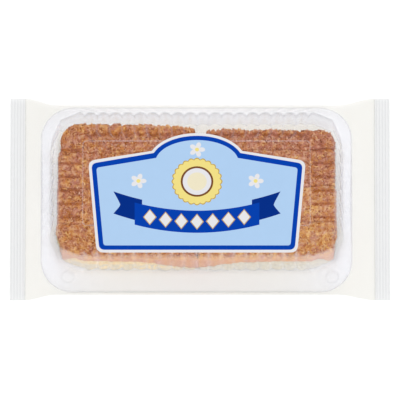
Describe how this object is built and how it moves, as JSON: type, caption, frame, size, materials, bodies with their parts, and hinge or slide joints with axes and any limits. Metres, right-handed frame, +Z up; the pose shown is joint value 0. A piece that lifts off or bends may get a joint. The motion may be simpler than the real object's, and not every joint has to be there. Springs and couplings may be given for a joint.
{
  "type": "packed coconut cake",
  "caption": "Sliced coconut-topped sponge cake under a clear fluted lid, sealed in a clear film bag with crimped ends and a blue arched label on top.",
  "frame": {"origin": "middle of the pack's underside, on the surface it lies on", "axes": "+X along the pack from seal to seal, +Y to its back, +Z up through the label"},
  "size_m": [0.3056, 0.1732, 0.0366],
  "materials": {
    "film": "thin clear glossy film",
    "label": "satin coated paper in fields of blue and white",
    "clear_tray": "clear formed sheet, glossy",
    "coconut": "rough baked coconut topping, golden brown",
    "sponge": "matte open sponge crumb, pale yellow"
  },
  "bodies": {
    "root": {"film_pack": "film", "label": "label"}
  },
  "joints": []
}
